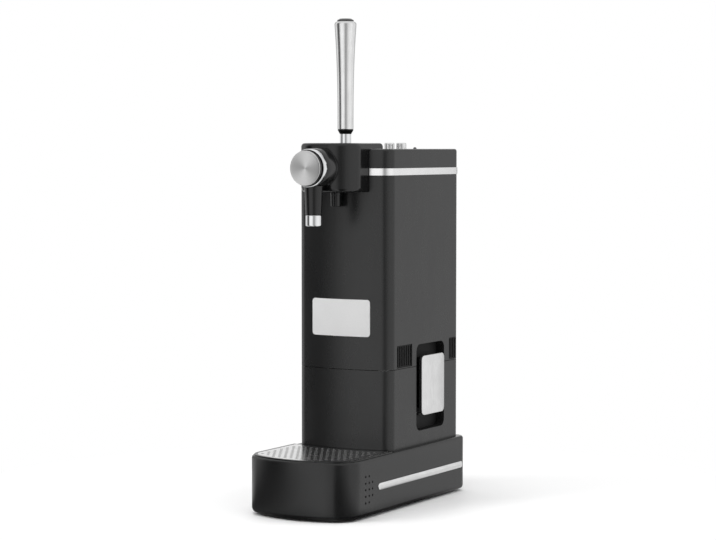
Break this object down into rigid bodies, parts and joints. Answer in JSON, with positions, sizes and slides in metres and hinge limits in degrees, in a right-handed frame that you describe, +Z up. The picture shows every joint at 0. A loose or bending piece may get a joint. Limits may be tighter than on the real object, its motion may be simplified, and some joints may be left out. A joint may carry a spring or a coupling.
{
  "type": "canned beer dispenser",
  "caption": "Counter-top canned beer dispenser: base with drip tray, column holding the can, lift-off cover with a tap, side latches and a tall tap handle.",
  "frame": {"origin": "on the worktop, under the middle of the base, level with the undersides of the feet", "axes": "+Z up; -Y towards the user, the side of the tap and the drip tray; +X to the right as seen by the user"},
  "size_m": [0.1164, 0.244, 0.4644],
  "materials": {
    "body_black": "satin, fine moulded texture",
    "tap_black": "semi-gloss",
    "foot_rubber": "matte",
    "seal_rubber": "matte",
    "screw_steel": "bright zinc",
    "silver_trim": "satin silver",
    "perforated_steel": "brushed",
    "cup_aluminium": "satin",
    "latch_steel": "brushed",
    "label_white": "satin white",
    "clear_hose": "translucent",
    "shelf_grey": "matte",
    "motor_steel": "satin",
    "cell_jacket": "satin grey",
    "board_green": "solder mask",
    "switch_black": "matte",
    "chrome": "polished",
    "spun_steel": "spun",
    "disc_brass": "satin",
    "handle_silver": "satin silver",
    "cap_grey": "satin",
    "lamp_lens": "smoked"
  },
  "bodies": {
    "base": {"base_shell": "body_black", "base_plate": "body_black", "foot_front_left": "foot_rubber", "foot_front_right": "foot_rubber", "foot_rear_left": "foot_rubber", "foot_rear_right": "foot_rubber", "base_screws": "screw_steel", "side_trim_left": "silver_trim", "side_trim_right": "silver_trim", "lower_housing": "body_black", "housing_screws": "screw_steel", "can_cup": "cup_aluminium", "can_mat": "foot_rubber", "cup_seal": "seal_rubber", "latch_pin_left": "screw_steel", "latch_pin_right": "screw_steel"},
    "drip_tray": {"drip_tray": "body_black"},
    "drip_grille": {"drip_grille": "perforated_steel"},
    "cover": {"upper_housing": "body_black", "belt": "silver_trim", "top_cap": "body_black", "blank_label": "label_white", "can_chamber": "cup_aluminium", "chamber_screws": "screw_steel", "dip_tube": "clear_hose", "beer_line": "clear_hose", "air_hose": "clear_hose", "pump_shelf": "shelf_grey", "pump_motor": "motor_steel", "pump_head": "switch_black", "battery_holder": "switch_black", "battery_cells": "cell_jacket", "control_board": "board_green", "switch_board": "board_green", "pour_switch": "switch_black", "foam_switch": "switch_black", "status_light": "lamp_lens", "tap_block": "tap_black", "tap_barrel": "tap_black", "barrel_ring": "chrome", "barrel_cap": "spun_steel", "foam_disc": "disc_brass", "spout": "tap_black", "spout_tip": "chrome", "rear_nozzle": "tap_black", "pivot_pin": "screw_steel", "return_springs": "screw_steel"},
    "battery_door": {"battery_door": "body_black"},
    "latch_left": {"latch_lever_left": "switch_black", "latch_plate_left": "latch_steel"},
    "latch_right": {"latch_lever_right": "switch_black", "latch_plate_right": "latch_steel"},
    "power_button": {"power_button": "chrome"},
    "foam_button": {"foam_button": "chrome"},
    "tap_lever": {"lever_yoke": "switch_black", "lever_stem": "chrome", "lever_collar": "tap_black", "lever_handle": "handle_silver", "handle_end_cap": "cap_grey"}
  },
  "joints": [
    {"name": "tray_lift", "type": "slide", "parent": "base", "child": "drip_tray", "axis": [0, 0, 1], "range_m": [0, 0.05]},
    {"name": "grille_lift", "type": "slide", "parent": "drip_tray", "child": "drip_grille", "axis": [0, 0, 1], "range_m": [0, 0.03]},
    {"name": "cover_lift", "type": "slide", "parent": "base", "child": "cover", "axis": [0, 0, 1], "range_m": [0, 0.18]},
    {"name": "battery_door_hinge", "type": "hinge", "parent": "cover", "child": "battery_door", "pos_m": [0, 0.1173, 0.1874], "axis": [-1, 0, 0], "range_deg": [0, 80]},
    {"name": "latch_left_hinge", "type": "hinge", "parent": "base", "child": "latch_left", "pos_m": [-0.0465, 0.056, 0.087], "axis": [0, -1, 0], "range_deg": [0, 90]},
    {"name": "latch_right_hinge", "type": "hinge", "parent": "base", "child": "latch_right", "pos_m": [0.0465, 0.056, 0.087], "axis": [0, 1, 0], "range_deg": [0, 90]},
    {"name": "power_button_press", "type": "slide", "parent": "cover", "child": "power_button", "axis": [0, 0, -1], "range_m": [0, 0.0015], "stiffness_N_per_m": 300},
    {"name": "foam_button_press", "type": "slide", "parent": "cover", "child": "foam_button", "axis": [0, 0, -1], "range_m": [0, 0.0015], "stiffness_N_per_m": 300},
    {"name": "tap_lever_hinge", "type": "hinge", "parent": "cover", "child": "tap_lever", "pos_m": [0, -0.0202, 0.3309], "axis": [1, 0, 0], "range_deg": [-12, 20], "stiffness_Nm_per_rad": 1.2}
  ]
}
